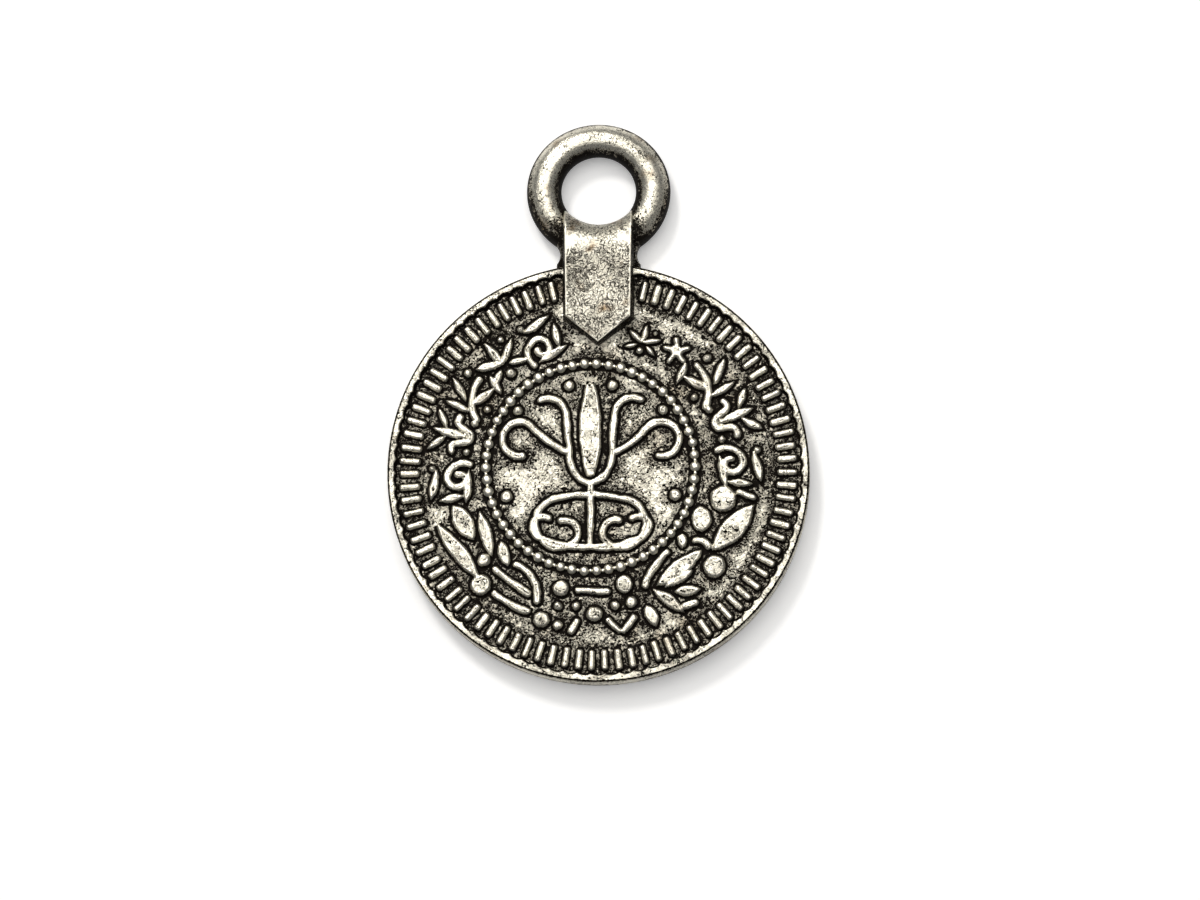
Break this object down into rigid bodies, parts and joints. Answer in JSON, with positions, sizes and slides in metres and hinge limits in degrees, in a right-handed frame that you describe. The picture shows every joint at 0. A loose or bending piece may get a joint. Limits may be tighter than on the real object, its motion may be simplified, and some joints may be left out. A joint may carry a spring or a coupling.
{
  "type": "coin pendant",
  "caption": "Cast coin pendant with a scalloped rim, radial edge bars, bead circle, leaf wreath and scroll relief, hung by a pointed strap from an oval ring.",
  "frame": {"origin": "middle of the outline seen from the front, on the plane of the flat back", "axes": "+Z out of the decorated face, +Y along the pendant from the coin towards the ring, +X to the right of the decorated face"},
  "size_m": [0.024, 0.0322, 0.0025],
  "materials": {
    "antique_silver": "antiqued silver plate on a zinc casting: warm satin high points, near-black patina in the recesses"
  },
  "bodies": {
    "root": {"pendant": "antique_silver"}
  },
  "joints": []
}
